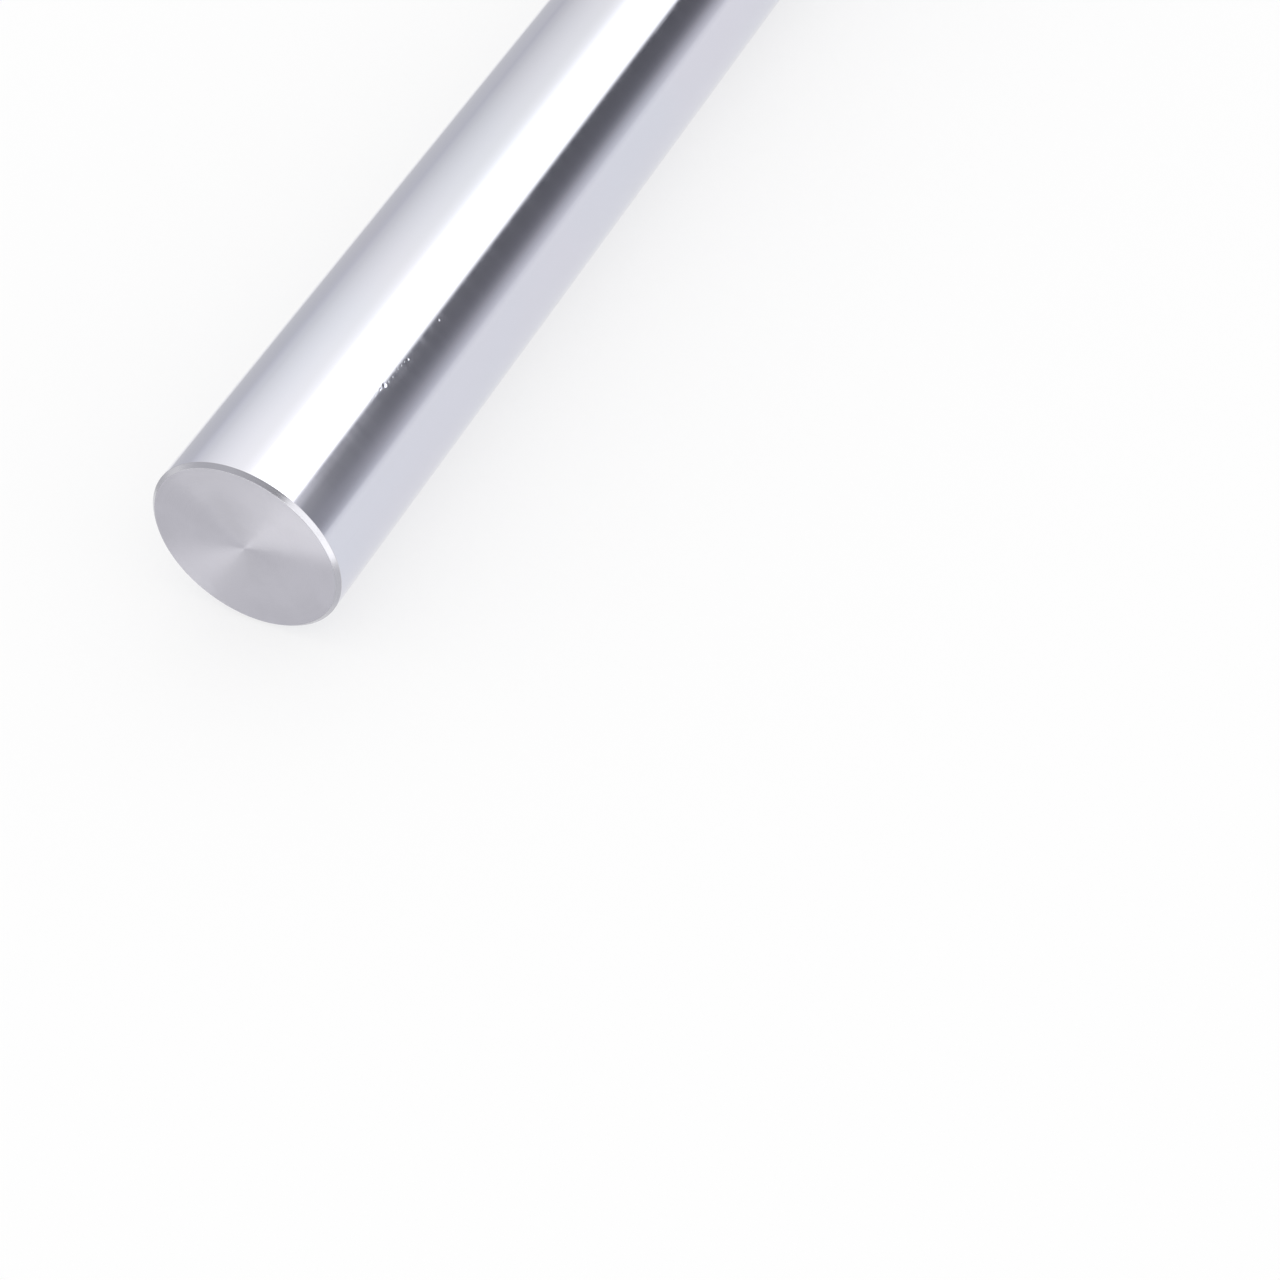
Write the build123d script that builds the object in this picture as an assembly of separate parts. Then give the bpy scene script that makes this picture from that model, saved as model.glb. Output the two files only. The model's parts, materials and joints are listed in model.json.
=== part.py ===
from build123d import *

import os

# Round metal bar: one cut length of bright, precision-ground steel bar stock.
#
# The bar is a single turned solid. Its round surface is ground to size, and each end is faced square
# on a lathe and given a small 45 degree chamfer. The two corners of each chamfer are broken by a
# small radius, as a touch of emery leaves them.
#
# Frame: millimetres, +Z up. The bar lies along X on the plane Z = 0, and the origin is on that
# plane, under the middle of the bar.

# Driving dimensions, in millimetres.
BAR_DIAMETER = 25.0
BAR_LENGTH = 300.0
CHAMFER_LEG = 0.5  # of the 45 degree chamfer, along the axis and across it
CORNER_RADIUS = 0.12  # where the chamfer meets the ground surface and the end face

# What follows from them.
BAR_RADIUS = BAR_DIAMETER / 2
AXIS_HEIGHT = BAR_RADIUS  # the bar rests on its own ground surface


def half_section():
    """The bar's section along its length, from its axis out to one side, with both ends finished."""
    with BuildSketch(Plane.XY.offset(AXIS_HEIGHT)) as section:
        Rectangle(BAR_LENGTH, BAR_RADIUS, align=(Align.CENTER, Align.MIN))
        sharp_corners = section.vertices().group_by(Axis.Y)[-1]
        chamfer(sharp_corners, CHAMFER_LEG)
        # one corner of each chamfer is on the end face, and the other on the ground surface
        end_face_corners, ground_corners = section.vertices().group_by(Axis.Y)[1:]
        fillet(end_face_corners + ground_corners, CORNER_RADIUS)
    return section.sketch


def turned_bar():
    """The half section turned about the bar's axis."""
    bar_axis = Axis((0, 0, AXIS_HEIGHT), (1, 0, 0))
    return revolve(half_section(), axis=bar_axis)


def main():
    os.makedirs("parts", exist_ok=True)
    round_bar = turned_bar()
    round_bar.label = "round_bar"
    export_step(round_bar, "parts/round_bar.step")


main()
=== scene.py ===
import json
import math
from functools import reduce

import bpy
import numpy as np
from mathutils import Euler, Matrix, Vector


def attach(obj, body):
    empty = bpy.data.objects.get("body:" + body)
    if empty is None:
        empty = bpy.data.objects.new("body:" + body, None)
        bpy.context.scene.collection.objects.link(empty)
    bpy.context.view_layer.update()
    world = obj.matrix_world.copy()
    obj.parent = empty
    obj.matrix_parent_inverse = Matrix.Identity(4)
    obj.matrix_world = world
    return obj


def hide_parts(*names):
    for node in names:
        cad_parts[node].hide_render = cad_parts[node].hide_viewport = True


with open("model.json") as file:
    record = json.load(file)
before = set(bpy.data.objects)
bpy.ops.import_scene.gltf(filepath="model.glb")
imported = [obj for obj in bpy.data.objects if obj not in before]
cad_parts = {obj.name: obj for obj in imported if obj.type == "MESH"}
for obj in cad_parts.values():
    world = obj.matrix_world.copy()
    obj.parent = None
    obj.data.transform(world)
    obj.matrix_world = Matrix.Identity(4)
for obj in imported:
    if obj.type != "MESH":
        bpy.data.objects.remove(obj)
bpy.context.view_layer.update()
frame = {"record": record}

# ---------------------------------------------------------------- sizes, in metres
mounts = {m["name"]: m for m in frame["record"]["mounts"]}
RADIUS = mounts["shank"]["dims"]["r_mm"] / 1000
NEAR_END = Vector(mounts["near_end"]["pos_m"])
FAR_END = Vector(mounts["far_end"]["pos_m"])
AXIS_HEIGHT = mounts["shank"]["pos_m"][2]
BAR_DIAMETER = 2 * RADIUS
GIRTH = 2 * math.pi * RADIUS
CHAMFER_LEG = 0.0005
CHAMFER_ANGLE = 45       # degrees
CORNER_RADIUS = 0.00012
CORNER_TANGENT = CORNER_RADIUS * math.tan(math.radians(CHAMFER_ANGLE / 2))
FACE_EDGE = RADIUS - CHAMFER_LEG - CORNER_TANGENT   # radius of the flat part of an end

SEGMENTS = 192           # round the bar
CORNER_STEPS = 5         # along each broken corner of a chamfer
FACE_FEED = 0.00025      # what the facing tool moved in one turn
FACE_GROOVE = 0.000005   # depth of the spiral groove that it left
FEED_STEPS = 4           # rings of vertices a turn of the groove

# handling marks on the ground surface, in a window with a finer mesh
MARKED = (0.0175, 0.036)   # from the near end
MARKED_STEPS = (26, 31)    # steps round the bar, of SEGMENTS
FINE_LENGTH = 0.00006      # a fine cell along the bar
FINE_STEPS = 8             # fine cells to a step round the bar

BAKE_MAP = "OFBake"
MAP_GAP = 0.0015           # between the two halves of the bake map, and round them


# ---------------------------------------------------------------- node trees
class Nodes:
    """Adds nodes to a tree, and links or sets their inputs."""

    def __init__(self, tree):
        self.tree = tree
        tree.nodes.clear()

    def put(self, value, socket):
        if isinstance(value, bpy.types.NodeSocket):
            self.tree.links.new(value, socket)
        else:
            socket.default_value = value

    def add(self, kind, inputs=(), out=0, **props):
        """A new node's output. inputs is a list by position, or a dict by name."""
        node = self.tree.nodes.new(kind)
        for key, value in props.items():
            setattr(node, key, value)
        pairs = inputs.items() if isinstance(inputs, dict) else enumerate(inputs)
        for key, value in pairs:
            if value is not None:
                self.put(value, node.inputs[key])
        return node.outputs[out] if node.outputs else node

    def math(self, operation, *values):
        return self.add("ShaderNodeMath", values, operation=operation)

    def plus(self, *values):
        return reduce(lambda a, b: self.math("ADD", a, b), values)

    def times(self, *values):
        return reduce(lambda a, b: self.math("MULTIPLY", a, b), values)

    def vector(self, operation, *values, out=0):
        return self.add("ShaderNodeVectorMath", values, operation=operation, out=out)

    def split(self, vector):
        return self.add("ShaderNodeSeparateXYZ", [vector]).node.outputs[:3]

    def join(self, x, y, z):
        return self.add("ShaderNodeCombineXYZ", [x, y, z])

    def span(self, value, a, b, to_a=0.0, to_b=1.0, smooth=True):
        """value carried from a..b to to_a..to_b, and held beyond."""
        return self.add("ShaderNodeMapRange", {"Value": value, "From Min": a, "From Max": b,
                                               "To Min": to_a, "To Max": to_b},
                        interpolation_type="SMOOTHSTEP" if smooth else "LINEAR")

    def mix(self, factor, a, b):
        return self.add("ShaderNodeMix", [factor, None, a, b], data_type="FLOAT")

    def mix_color(self, factor, a, b):
        node = self.add("ShaderNodeMix", data_type="RGBA").node
        for value, key in ((factor, 0), (a, 6), (b, 7)):
            self.put(value, node.inputs[key])
        return node.outputs[2]

    def noise(self, place, detail, roughness=0.5):
        return self.add("ShaderNodeTexNoise", {"Vector": place, "Scale": 1.0, "Detail": detail,
                                               "Roughness": roughness})


def new_material(name):
    material = bpy.data.materials.new(name)
    material.use_nodes = True
    return material, Nodes(material.node_tree)


def new_object(name, data):
    obj = bpy.data.objects.new(name, data)
    bpy.context.scene.collection.objects.link(obj)
    return obj


# ---------------------------------------------------------------- camera
CAMERA_AZIMUTH, CAMERA_ELEVATION = -64.61, 48.0
FIELD_OF_VIEW = 22.72
SENSOR_WIDTH = 36.0      # millimetres
CLIP_START, CLIP_END = 0.01, 50
# the middle of the near end as the camera sees it: right, up and behind, in bar diameters
NEAR_END_SEEN = Vector((-1.829, 0.424, -14.727))


def make_camera():
    data = bpy.data.cameras.new("camera")
    camera = new_object("camera", data)
    data.sensor_width = SENSOR_WIDTH
    data.lens = SENSOR_WIDTH / 2 / math.tan(math.radians(FIELD_OF_VIEW / 2))
    data.clip_start, data.clip_end = CLIP_START, CLIP_END
    camera.rotation_euler = Euler((math.radians(90 - CAMERA_ELEVATION), 0, math.radians(CAMERA_AZIMUTH)))
    camera.location = NEAR_END - camera.rotation_euler.to_matrix() @ (NEAR_END_SEEN * BAR_DIAMETER)
    bpy.context.scene.camera = camera


# ---------------------------------------------------------------- studio
# Light from round the bar's axis, which only reflections show: degrees from -Y over the top to +Y,
# strength, and how blue it is. In the photograph's view the ground surface reflects FAR_TENT, from
# beyond the far end, and the near end's face and chamfer reflect NEAR_TENT.
FAR_TENT = [
    (0, 0.80, 1.04), (3.5, 0.67, 1.05), (9.5, 0.50, 1.06), (16, 0.33, 1.08), (22, 0.22, 1.1),
    (28, 0.165, 1.1), (33, 0.15, 1.1), (40, 0.137, 1.1), (44, 0.122, 1.1), (47.7, 0.13, 1.1),
    (51.0, 1.8, 1.0), (60, 2.0, 0.97), (98, 1.75, 0.97), (106, 1.38, 0.96), (115, 1.22, 0.96),
    (128, 1.16, 0.97), (142, 1.06, 0.98), (157, 0.93, 0.99), (165, 0.83, 1.0), (171, 0.785, 1.02),
    (176, 0.70, 1.04), (180, 0.665, 1.05)]
NEAR_TENT = [
    (0, 1.5, 1.0), (54, 1.5, 1.0), (60, 0.20, 1.06), (66, 0.20, 1.06), (78, 0.38, 1.05),
    (100, 0.53, 1.04), (125, 0.66, 1.04), (150, 0.63, 1.04), (180, 0.565, 1.04)]
TENT_PEAK = 2.0          # the strength that a ramp's full white stands for
WHITE = (1, 1, 1, 1)

FLOOR_SIZE = 30
FLOOR_COLOR = (0.98, 0.98, 0.98, 1)
FLOOR_FADE = (0.2, 0.6)  # how far from the bar's middle the floor turns to plain white
FLOOR_LIFT = 0.62        # the share of plain white in the floor beside the bar

CARD_HEIGHT = 0.0004     # above the floor
CARD_REACH = 14          # how far the largest cards run
# what a card is hidden from, so that only reflections show it
CARD_HIDDEN = ("visible_camera", "visible_diffuse", "visible_transmission", "visible_shadow",
               "visible_volume_scatter")


def tent_light(n, turn, tent, strength):
    """The light of a tent at a turn in degrees. strength scales it, and may be a socket."""
    ramp = n.add("ShaderNodeValToRGB", [n.math("DIVIDE", turn, 180)])
    stops = ramp.node.color_ramp.elements
    stops.remove(stops[1])
    for i, (degrees, level, blue) in enumerate(tent):
        stop = stops[0] if i == 0 else stops.new(degrees / 180)
        stop.position = degrees / 180
        share = level / TENT_PEAK
        stop.color = (share, share, share * blue, 1)
    light = n.vector("SCALE", ramp)
    n.put(strength, light.node.inputs["Scale"])
    return light


def far_light(n, x, turn):
    """The light beyond the far end.

    In the photograph's view a place on the bar reflects directions of one x: 0.58 at the near end,
    0.63 at 30 mm from it, 0.68 at 60 mm and 0.73 at the picture's edge.
    """
    # degrees that the bands drift round the bar along its length: the dark band's foot steadily, and
    # faster by the near end, and its edge on the white band a little, there and further on
    foot = n.times(n.span(x, 0.575, 0.665, 4.0, -3.0, smooth=False), n.span(turn, 8, 22, 1.0, 0.0))
    near_foot = n.times(n.span(x, 0.57, 0.61, 3.2, 0.0), n.span(turn, 5, 22, 1.0, 0.0))
    top = n.times(n.plus(n.span(x, 0.63, 0.67, 0.0, -0.6), n.span(x, 0.57, 0.61, -0.9, 0.0)),
                  n.span(turn, 70, 100, 1.0, 0.0), n.span(turn, 25, 40))
    drift = n.plus(foot, n.plus(near_foot, top))
    # the light dims along the bar
    strength = n.span(x, 0.56, 0.72, 1.05 * TENT_PEAK, 0.89 * TENT_PEAK)
    light = tent_light(n, n.plus(turn, drift), FAR_TENT, strength)

    # by the near end a little light spills into the dark band, and more beside the white one
    spill = n.times(n.span(x, 0.562, 0.596, 0.56, 0.0), n.span(turn, 8, 40))
    edge = n.times(n.plus(n.span(x, 0.562, 0.597, 0.78, -0.06), n.span(x, 0.61, 0.635, 0.0, 0.06)),
                   n.span(turn, 36, 46))
    spill = n.times(n.plus(spill, edge), n.span(turn, 60, 100, 1.0, 0.0))
    light = n.vector("ADD", light, n.join(spill, spill, spill))

    # straight along the bar's axis there is no turn, and the light is plain white
    across = n.math("SQRT", n.math("SUBTRACT", 1.0, n.times(x, x)))
    return n.mix_color(n.span(across, 0.12, 0.3), WHITE, light)


def near_light(n, x, z, turn):
    """The light before the near end, with a glow low down and along the bar's axis."""
    glow = n.plus(n.span(z, 0.0, 0.35, 0.21, 0.0), n.span(x, -0.97, -0.83, 0.85, 0.0))
    return n.vector("ADD", tent_light(n, turn, NEAR_TENT, TENT_PEAK), n.join(glow, glow, glow))


def make_world():
    """Plain white for all but reflections, which show the tents."""
    world = bpy.data.worlds.new("studio")
    bpy.context.scene.world = world
    world.use_nodes = True
    n = Nodes(world.node_tree)
    x, y, z = n.split(n.add("ShaderNodeTexCoord", out="Generated"))
    turn = n.times(n.math("ARCTAN2", z, n.times(y, -1.0)), 180 / math.pi)
    tents = n.mix_color(n.span(x, 0.05, 0.45), near_light(n, x, z, turn), far_light(n, x, turn))
    path = n.add("ShaderNodeLightPath").node.outputs
    color = n.mix_color(path["Is Glossy Ray"], WHITE, tents)
    n.add("ShaderNodeOutputWorld", {
        "Surface": n.add("ShaderNodeBackground", {"Color": color, "Strength": 1.0})})


def make_floor():
    """A pale floor that keeps the bar's shadow, and runs out to plain white."""
    bpy.ops.mesh.primitive_plane_add(size=FLOOR_SIZE)
    floor = bpy.context.object
    floor.name = "floor"
    material, n = new_material("floor")
    paper = n.add("ShaderNodeBsdfDiffuse", {"Color": FLOOR_COLOR})
    white = n.add("ShaderNodeEmission", {"Strength": 1.0})
    distance = n.vector("LENGTH", n.add("ShaderNodeTexCoord", out="Object"), out="Value")
    path = n.add("ShaderNodeLightPath").node.outputs
    seen = n.math("MAXIMUM", path["Is Camera Ray"],
                  n.math("MAXIMUM", path["Is Glossy Ray"], path["Is Transmission Ray"]))
    share = n.times(seen, n.mix(n.span(distance, *FLOOR_FADE), FLOOR_LIFT, 1.0))
    n.add("ShaderNodeOutputMaterial", {"Surface": n.add("ShaderNodeMixShader", [share, paper, white])})
    floor.data.materials.append(material)


def make_card(name, corners, color, strength):
    """A lit card just above the floor that only reflections show. corners: (x, y)"""
    mesh = bpy.data.meshes.new(name)
    mesh.from_pydata([(x, y, CARD_HEIGHT) for x, y in corners], [], [tuple(range(len(corners)))])
    card = new_object(name, mesh)
    material, n = new_material(name)
    n.add("ShaderNodeOutputMaterial", {
        "Surface": n.add("ShaderNodeEmission", [(*color, 1), strength])})
    mesh.materials.append(material)
    for flag in CARD_HIDDEN:
        setattr(card, flag, False)


def from_near_end(azimuth, distance):
    """A place on the floor, by direction (0 is -X, 90 is -Y) and distance from under the near end."""
    a = math.radians(azimuth)
    return NEAR_END.x - distance * math.cos(a), -distance * math.sin(a)


def oblong(x0, y0, x1, y1):
    """Its four corners, from two opposite ones."""
    return [(x0, y0), (x1, y0), (x1, y1), (x0, y1)]


def make_cards():
    x = NEAR_END.x
    bright = [(17, 0.030), (78, 0.054), (78, 0.6), (17, 0.4)]
    make_card("bright_card", [from_near_end(*place) for place in bright], (1.0, 1.0, 1.0), 1.70)
    make_card("near_floor_card", oblong(x - 0.0236, -0.031, x, 0.081), (1.0, 1.0, 1.03), 0.76)
    make_card("far_floor_card", oblong(x, 0.035, CARD_REACH, CARD_REACH), (1.0, 1.0, 1.03), 0.65)
    make_card("front_floor_card", oblong(x - 0.25, -0.25, CARD_REACH, -CARD_REACH),
              (1.0, 1.0, 1.02), 0.91)


# ---------------------------------------------------------------- the bar
FACED, CHAMFER, GROUND = range(3)    # its three finishes, in the order of its materials


def half_profile():
    """The bar's outline from one end's middle out.

    A point is its inset from the end, its radius, its normal inwards and outwards, and its finish.
    """
    rings = int(FACE_EDGE / FACE_FEED * FEED_STEPS)
    points = [(0.0, r, -1.0, 0.0, FACED) for r in np.linspace(0, FACE_EDGE, rings + 1)]
    last = 2 * CORNER_STEPS + 1
    for k in range(1, last + 1):
        outer = k > CORNER_STEPS
        turn = math.radians(CHAMFER_ANGLE * (k - outer) / CORNER_STEPS)
        back, out = math.cos(turn), math.sin(turn)
        inset = CHAMFER_LEG + CORNER_TANGENT if outer else CORNER_RADIUS
        radius = RADIUS - CORNER_RADIUS if outer else FACE_EDGE
        points.append((inset - CORNER_RADIUS * back, radius + CORNER_RADIUS * out, -back, out,
                       GROUND if k == last else CHAMFER))
    return points


def whole_profile():
    """The outline from end to end: x, radius, normal along x and out, and finish."""
    half = half_profile()
    near = [(NEAR_END.x + inset, r, a, b, finish) for inset, r, a, b, finish in half]
    far = [(FAR_END.x - inset, r, -a, b, finish) for inset, r, a, b, finish in reversed(half)]
    middle = [((NEAR_END.x + FAR_END.x) / 2, RADIUS, 0.0, 1.0, GROUND)]
    return near + middle + far


def facing_groove(r, step):
    """The spiral groove on an end, at a radius and a step round the bar: its depth and its slope."""
    fade = min(1, (FACE_EDGE - r) / (2 * FACE_FEED)) * min(1, r / (2 * FACE_FEED))
    phase = 2 * math.pi * (r / FACE_FEED - step / SEGMENTS)
    depth = FACE_GROOVE / 2 * (1 - math.cos(phase)) * fade
    slope = FACE_GROOVE / 2 * math.sin(phase) * 2 * math.pi / FACE_FEED * fade
    return depth, slope


def handling_marks():
    """Dents on the ground surface, in metres.

    A dent is its distance from the near end, its place round the bar, its radius and its depth.
    """
    def spot(mm, degrees, radius, depth):
        return mm / 1000, math.radians(degrees) * RADIUS, radius / 1000, depth / 1000

    marks = [spot(21.8, 54.4, 0.36, 0.036), spot(27.05, 52.9, 0.22, 0.0155),
             spot(34.7, 52.6, 0.22, 0.013)]
    # specks: how many, between which places, round which angle and how far off it, radii, depths
    specks = [(15, (22.4, 26.4), (54.0, 0.55), (0.10, 0.2), (0.001, 0.0042)),
              (12, (18.4, 21.2), (55.2, 0.5), (0.09, 0.22), (0.001, 0.004))]
    rng = np.random.default_rng(7)
    for count, places, (angle, off), radii, depths in specks:
        for _ in range(count):
            marks.append(spot(rng.uniform(*places), angle + rng.normal(0, off), rng.uniform(*radii),
                              rng.uniform(*depths)))
    return marks


def marked_window(marks):
    """A fine grid over MARKED.

    Its distances from the near end, its steps round the bar, the dents' depth and their two slopes.
    """
    columns = round((MARKED[1] - MARKED[0]) / FINE_LENGTH)
    along = np.linspace(*MARKED, columns + 1)[:, None]
    rows = (MARKED_STEPS[1] - MARKED_STEPS[0]) * FINE_STEPS
    steps = np.linspace(*MARKED_STEPS, rows + 1)[None, :]
    arc = steps * 2 * math.pi / SEGMENTS * RADIUS
    depth, slope_x, slope_arc = (np.zeros(np.broadcast_shapes(along.shape, arc.shape))
                                 for _ in range(3))
    for x, a, radius, deep in marks:
        dx, da = along - x, arc - a
        away = np.hypot(dx, da)
        inside = away < radius
        turn = math.pi * away / radius
        depth += np.where(inside, deep / 2 * (1 + np.cos(turn)), 0)
        slope = np.where(inside, -deep / 2 * np.sin(turn) * math.pi / radius, 0)
        slope = slope / np.maximum(away, 1e-9)
        slope_x += slope * dx
        slope_arc += slope * da
    return along[:, 0], steps[0], depth, slope_x, slope_arc


class Turned:
    """Gathers a turned mesh: vertices with normals, and faces whose corners know their map place."""

    def __init__(self):
        self.vertices, self.normals, self.faces = [], [], []

    def vertex(self, x, r, step, normal):
        """A vertex, and its normal given along the axis, outwards and round the bar."""
        angle = step * 2 * math.pi / SEGMENTS
        out, round_it = (-math.cos(angle), math.sin(angle)), (math.sin(angle), math.cos(angle))
        self.vertices.append((x, r * out[0], AXIS_HEIGHT + r * out[1]))
        a, b, c = normal
        self.normals.append((a, b * out[0] + c * round_it[0], b * out[1] + c * round_it[1]))
        return len(self.vertices) - 1

    def ring(self, x, r, normals):
        """A vertex at each step round the bar, with the first one again at its end."""
        row = [self.vertex(x, r, k, normal) for k, normal in enumerate(normals)]
        return row + row[:1]

    def face(self, finish, corners):
        """corners: (vertex, distance along the profile, step round the bar)"""
        self.faces.append((finish, corners))


def profile_ring(turned, x, r, nx, nr, finish):
    """The vertices round the bar of one point of the profile."""
    if r == 0:
        return [turned.vertex(x, 0, 0, (nx, 0, 0))] * (SEGMENTS + 1)
    if finish != FACED:
        unit = math.hypot(nx, nr)
        return turned.ring(x, r, [(nx / unit, nr / unit, 0)] * SEGMENTS)
    row = []
    for k in range(SEGMENTS):
        depth, slope = facing_groove(r, k)
        unit = math.hypot(nx, nr + slope)
        normal = (nx / unit, (nr + slope) / unit, 0)
        row.append(turned.vertex(x - math.copysign(depth, x), r, k, normal))
    return row + row[:1]


def turned_mesh(name):
    """The profile turned about the bar's axis, with the spiral groove and the handling marks."""
    points = whole_profile()
    turned = Turned()
    lengths = [math.dist(p[:2], q[:2]) for p, q in zip(points, points[1:])]
    along = np.concatenate([[0], np.cumsum(lengths)])
    rows = [profile_ring(turned, *point) for point in points]
    last = len(points) - 1
    middle = last // 2
    for a in range(last):
        if a == middle - 1:      # this half of the ground surface has the marks
            continue
        b = a + 1
        finish = points[a][4] if points[a][4] == points[b][4] else CHAMFER
        for k in range(SEGMENTS):
            if a == 0:
                corners = [(a, k, k + 0.5), (b, k, k), (b, k + 1, k + 1)]
            elif b == last:
                corners = [(a, k + 1, k + 1), (a, k, k), (b, k, k + 0.5)]
            else:
                corners = [(a, k, k), (b, k, k), (b, k + 1, k + 1), (a, k + 1, k + 1)]
            turned.face(finish, [(rows[row][i], along[row], step) for row, i, step in corners])
    fill_marked_half(turned, rows[middle - 1], rows[middle], along[middle - 1], along[middle])
    return built_mesh(name, turned, along[-1])


def fill_marked_half(turned, first, second, along_a, along_b):
    """The ground surface between two rings of vertices, with the window of marks in it."""
    inset, steps, depth, slope_x, slope_arc = marked_window(handling_marks())
    k0, k1 = MARKED_STEPS
    first_inset = turned.vertices[first[0]][0] - NEAR_END.x
    places = along_a - first_inset + inset      # of the fine columns, along the profile
    rings = [turned.ring(NEAR_END.x + inset[edge], RADIUS, [(0, 1, 0)] * SEGMENTS)
             for edge in (0, -1)]
    grid = np.zeros(depth.shape, int)
    for i, j in np.ndindex(*grid.shape):
        if i in (0, len(inset) - 1) and j % FINE_STEPS == 0:
            grid[i, j] = rings[0 if i == 0 else 1][k0 + j // FINE_STEPS]
        else:
            u, v = slope_x[i, j], slope_arc[i, j]
            unit = math.sqrt(1 + u * u + v * v)
            grid[i, j] = turned.vertex(NEAR_END.x + inset[i], RADIUS - depth[i, j], steps[j],
                                       (u / unit, 1 / unit, v / unit))

    def fine_corner(i, j):
        return grid[i, j], places[i], steps[j]

    for k in range(SEGMENTS):
        marked = k0 <= k < k1
        # from the window's two rings to the ones before and after it
        for i, ring in ((0, rings[0]), (-1, rings[1])):
            if marked:
                columns = range((k - k0) * FINE_STEPS, (k - k0 + 1) * FINE_STEPS + 1)
                edge = [fine_corner(i, j) for j in columns]
            else:
                edge = [(ring[k], places[i], k), (ring[k + 1], places[i], k + 1)]
            if i == 0:
                corners = [(first[k], along_a, k), *edge, (first[k + 1], along_a, k + 1)]
            else:
                corners = [(second[k + 1], along_b, k + 1), *edge[::-1], (second[k], along_b, k)]
            turned.face(GROUND, corners)
        # beside the window, round the rest of the bar
        if not marked:
            low, high = ([(rings[0][at], places[0], at), (rings[1][at], places[-1], at)]
                         for at in (k, k + 1))
            if k == k1:
                low = [fine_corner(i, len(steps) - 1) for i in range(len(inset))]
            elif k == k0 - 1:
                high = [fine_corner(i, 0) for i in range(len(inset))]
            turned.face(GROUND, low + high[::-1])
    for i in range(len(inset) - 1):
        for j in range(len(steps) - 1):
            turned.face(GROUND, [fine_corner(i, j), fine_corner(i + 1, j),
                                 fine_corner(i + 1, j + 1), fine_corner(i, j + 1)])


def built_mesh(name, turned, length):
    """The gathered mesh, with its normals, finishes and bake map."""
    mesh = bpy.data.meshes.new(name)
    polygons = [[int(vertex) for vertex, _, _ in corners] for _, corners in turned.faces]
    mesh.from_pydata(turned.vertices, [], polygons)
    mesh.update()

    # the map runs along the profile and round the bar, folded in two at mid-length
    half = length / 2
    scale = 1 / (max(half, 2 * GIRTH) + 3 * MAP_GAP)
    flat = []
    for _, corners in turned.faces:
        second = sum(place for _, place, _ in corners) / len(corners) > half
        for _, place, step in corners:
            flat.append((MAP_GAP + place - half * second) * scale)
            flat.append((MAP_GAP + (GIRTH + MAP_GAP) * second + step / SEGMENTS * GIRTH) * scale)
    mesh.uv_layers.new(name=BAKE_MAP).data.foreach_set("uv", flat)
    for polygon, (finish, _) in zip(mesh.polygons, turned.faces):
        polygon.use_smooth = True
        polygon.material_index = finish
    mesh.normals_split_custom_set_from_vertices(turned.normals)
    return mesh


# ---------------------------------------------------------------- finishes
def bar_place(n):
    """A point's x, y and z, measured from the bar's axis."""
    x, y, z = n.split(n.add("ShaderNodeTexCoord", out="Object"))
    return x, y, n.math("SUBTRACT", z, AXIS_HEIGHT)


def bar_noise(n, place, along, across, detail, roughness=0.5):
    """A noise with so many cells a metre along the bar and across it."""
    x, y, z = place
    return n.noise(n.join(n.times(x, along), n.times(y, across), n.times(z, across)), detail, roughness)


def swung(n, value, noise, amount):
    """value moved by a noise, by at most half of amount either way."""
    return n.plus(value, n.times(n.math("SUBTRACT", noise, 0.5), amount))


def finish_steel(n, color, roughness, anisotropic, height):
    """anisotropic spreads reflections along the bar's profile, square to the marks round it."""
    tangent = n.add("ShaderNodeTangent", direction_type="UV_MAP", uv_map=BAKE_MAP)
    normal = n.add("ShaderNodeBump", {"Strength": 1.0, "Distance": 1.0, "Height": height})
    shader = n.add("ShaderNodeBsdfPrincipled", {
        "Base Color": color, "Metallic": 1.0, "Roughness": roughness, "Anisotropic": anisotropic,
        "Tangent": tangent, "Normal": normal})
    n.add("ShaderNodeOutputMaterial", {"Surface": shader})


def mark_place(mm, degrees):
    """A place on the ground surface, by distance from the near end and angle from -Y."""
    angle = math.radians(degrees)
    return NEAR_END.x + mm / 1000, -RADIUS * math.cos(angle), RADIUS * math.sin(angle)


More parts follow.
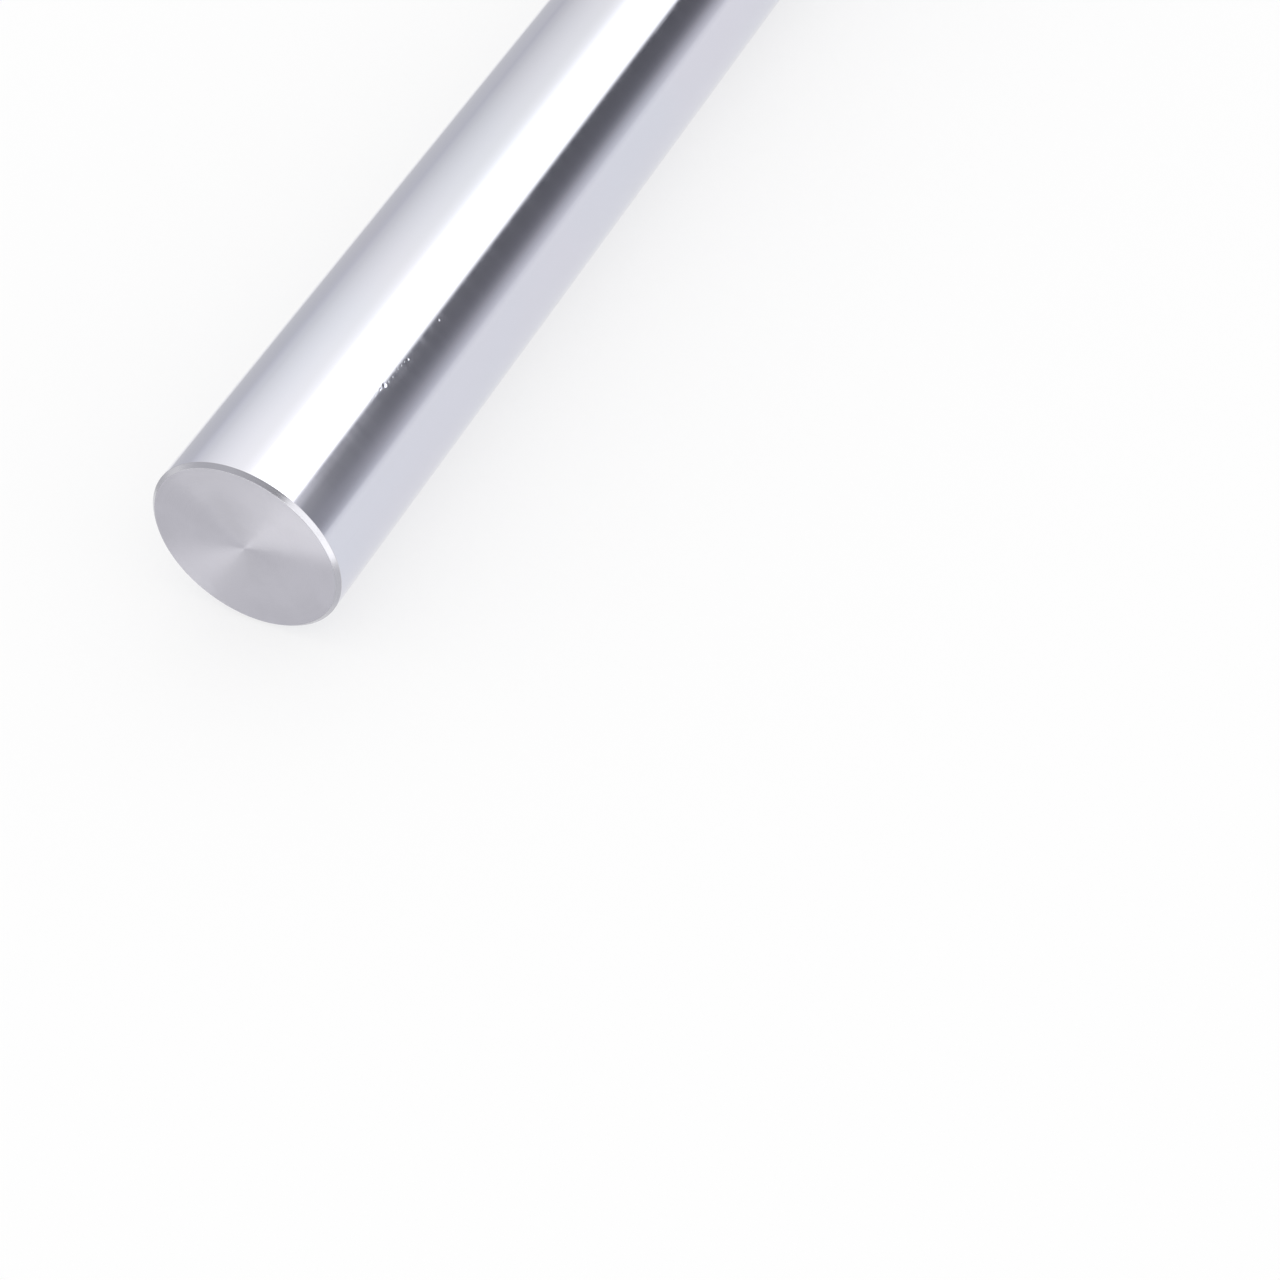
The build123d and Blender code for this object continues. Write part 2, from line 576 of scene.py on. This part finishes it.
def ground_steel():
    material, n = new_material("ground_surface")
    place = bar_place(n)
    marks = bar_noise(n, place, 5200, 90, 3, 0.6)      # the grinding wheel's, round the bar
    bands = bar_noise(n, place, 420, 25, 2)            # its uneven passes
    clouds = bar_noise(n, place, 30, 60, 2)            # slow changes in tone, and where it is scratched
    drawn = bar_noise(n, place, 26, 2600, 1)           # handling scratches along the bar
    scratch = n.times(n.span(drawn, 0.70, 0.76), n.span(clouds, 0.5, 0.62))
    # a faint matt smear runs along the handling marks
    from_mark = n.vector("MULTIPLY", n.vector("SUBTRACT", n.join(*place), mark_place(27.0, 52.4)),
                         (0.09, 1.0, 1.0))
    smear = n.span(n.vector("LENGTH", from_mark, out="Value"), 0.0011, 0.0003)
    smear = n.times(smear, n.span(bar_noise(n, place, 900, 900, 2), 0.4, 0.62))
    roughness = swung(n, swung(n, 0.125, marks, 0.06), bands, 0.05)
    roughness = n.plus(roughness, n.times(scratch, 0.12), n.times(smear, 0.015))
    color = n.mix_color(n.span(clouds, 0.3, 0.7), (0.672, 0.670, 0.745, 1), (0.660, 0.672, 0.750, 1))
    # heights in metres: the marks, and slow waves that bend the reflections
    waves = bar_noise(n, place, 45, 110, 1)
    height = n.plus(n.times(marks, 4e-7), n.times(waves, 1.2e-5))
    height = n.math("SUBTRACT", height, n.times(scratch, 6e-7))
    finish_steel(n, color, roughness, 0.5, height)
    return material


def turned_steel(name, color, roughness, anisotropic, depth):
    """An end's steel, with marks depth deep that run round it and a faint stain."""
    material, n = new_material(name)
    x, y, z = bar_place(n)
    out = n.math("MAXIMUM", n.math("SQRT", n.plus(n.times(y, y), n.times(z, z))), 1e-5)
    # a place whose noise runs in rings: 5000 cells a metre out from the axis, or along a chamfer
    rings = n.join(n.times(n.math("SUBTRACT", out, n.math("ABSOLUTE", x)), 5000),
                   n.math("DIVIDE", y, out), n.math("DIVIDE", z, out))
    marks = n.noise(rings, 3, 0.6)
    stain = bar_noise(n, (x, y, z), 1, 160, 3)
    light, dark = ((*(c * share for c in color), 1) for share in (1.03, 0.97))
    tone = n.mix_color(n.span(stain, 0.35, 0.65), light, dark)
    finish_steel(n, tone, swung(n, roughness, marks, 0.12), anisotropic, n.times(marks, depth))
    return material


def make_bar():
    mesh = turned_mesh("polished_bar")
    bar = new_object("polished_bar", mesh)
    mesh.materials.append(turned_steel("faced_end", (0.673, 0.664, 0.711), 0.45, 0.86, 3e-6))
    mesh.materials.append(turned_steel("chamfer", (0.584, 0.581, 0.618), 0.25, 0.2, 1.5e-6))
    mesh.materials.append(ground_steel())
    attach(bar, "root")
    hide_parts("round_bar")


make_camera()
make_world()
make_floor()
make_cards()
make_bar()
bpy.context.scene.view_settings.view_transform = "Standard"
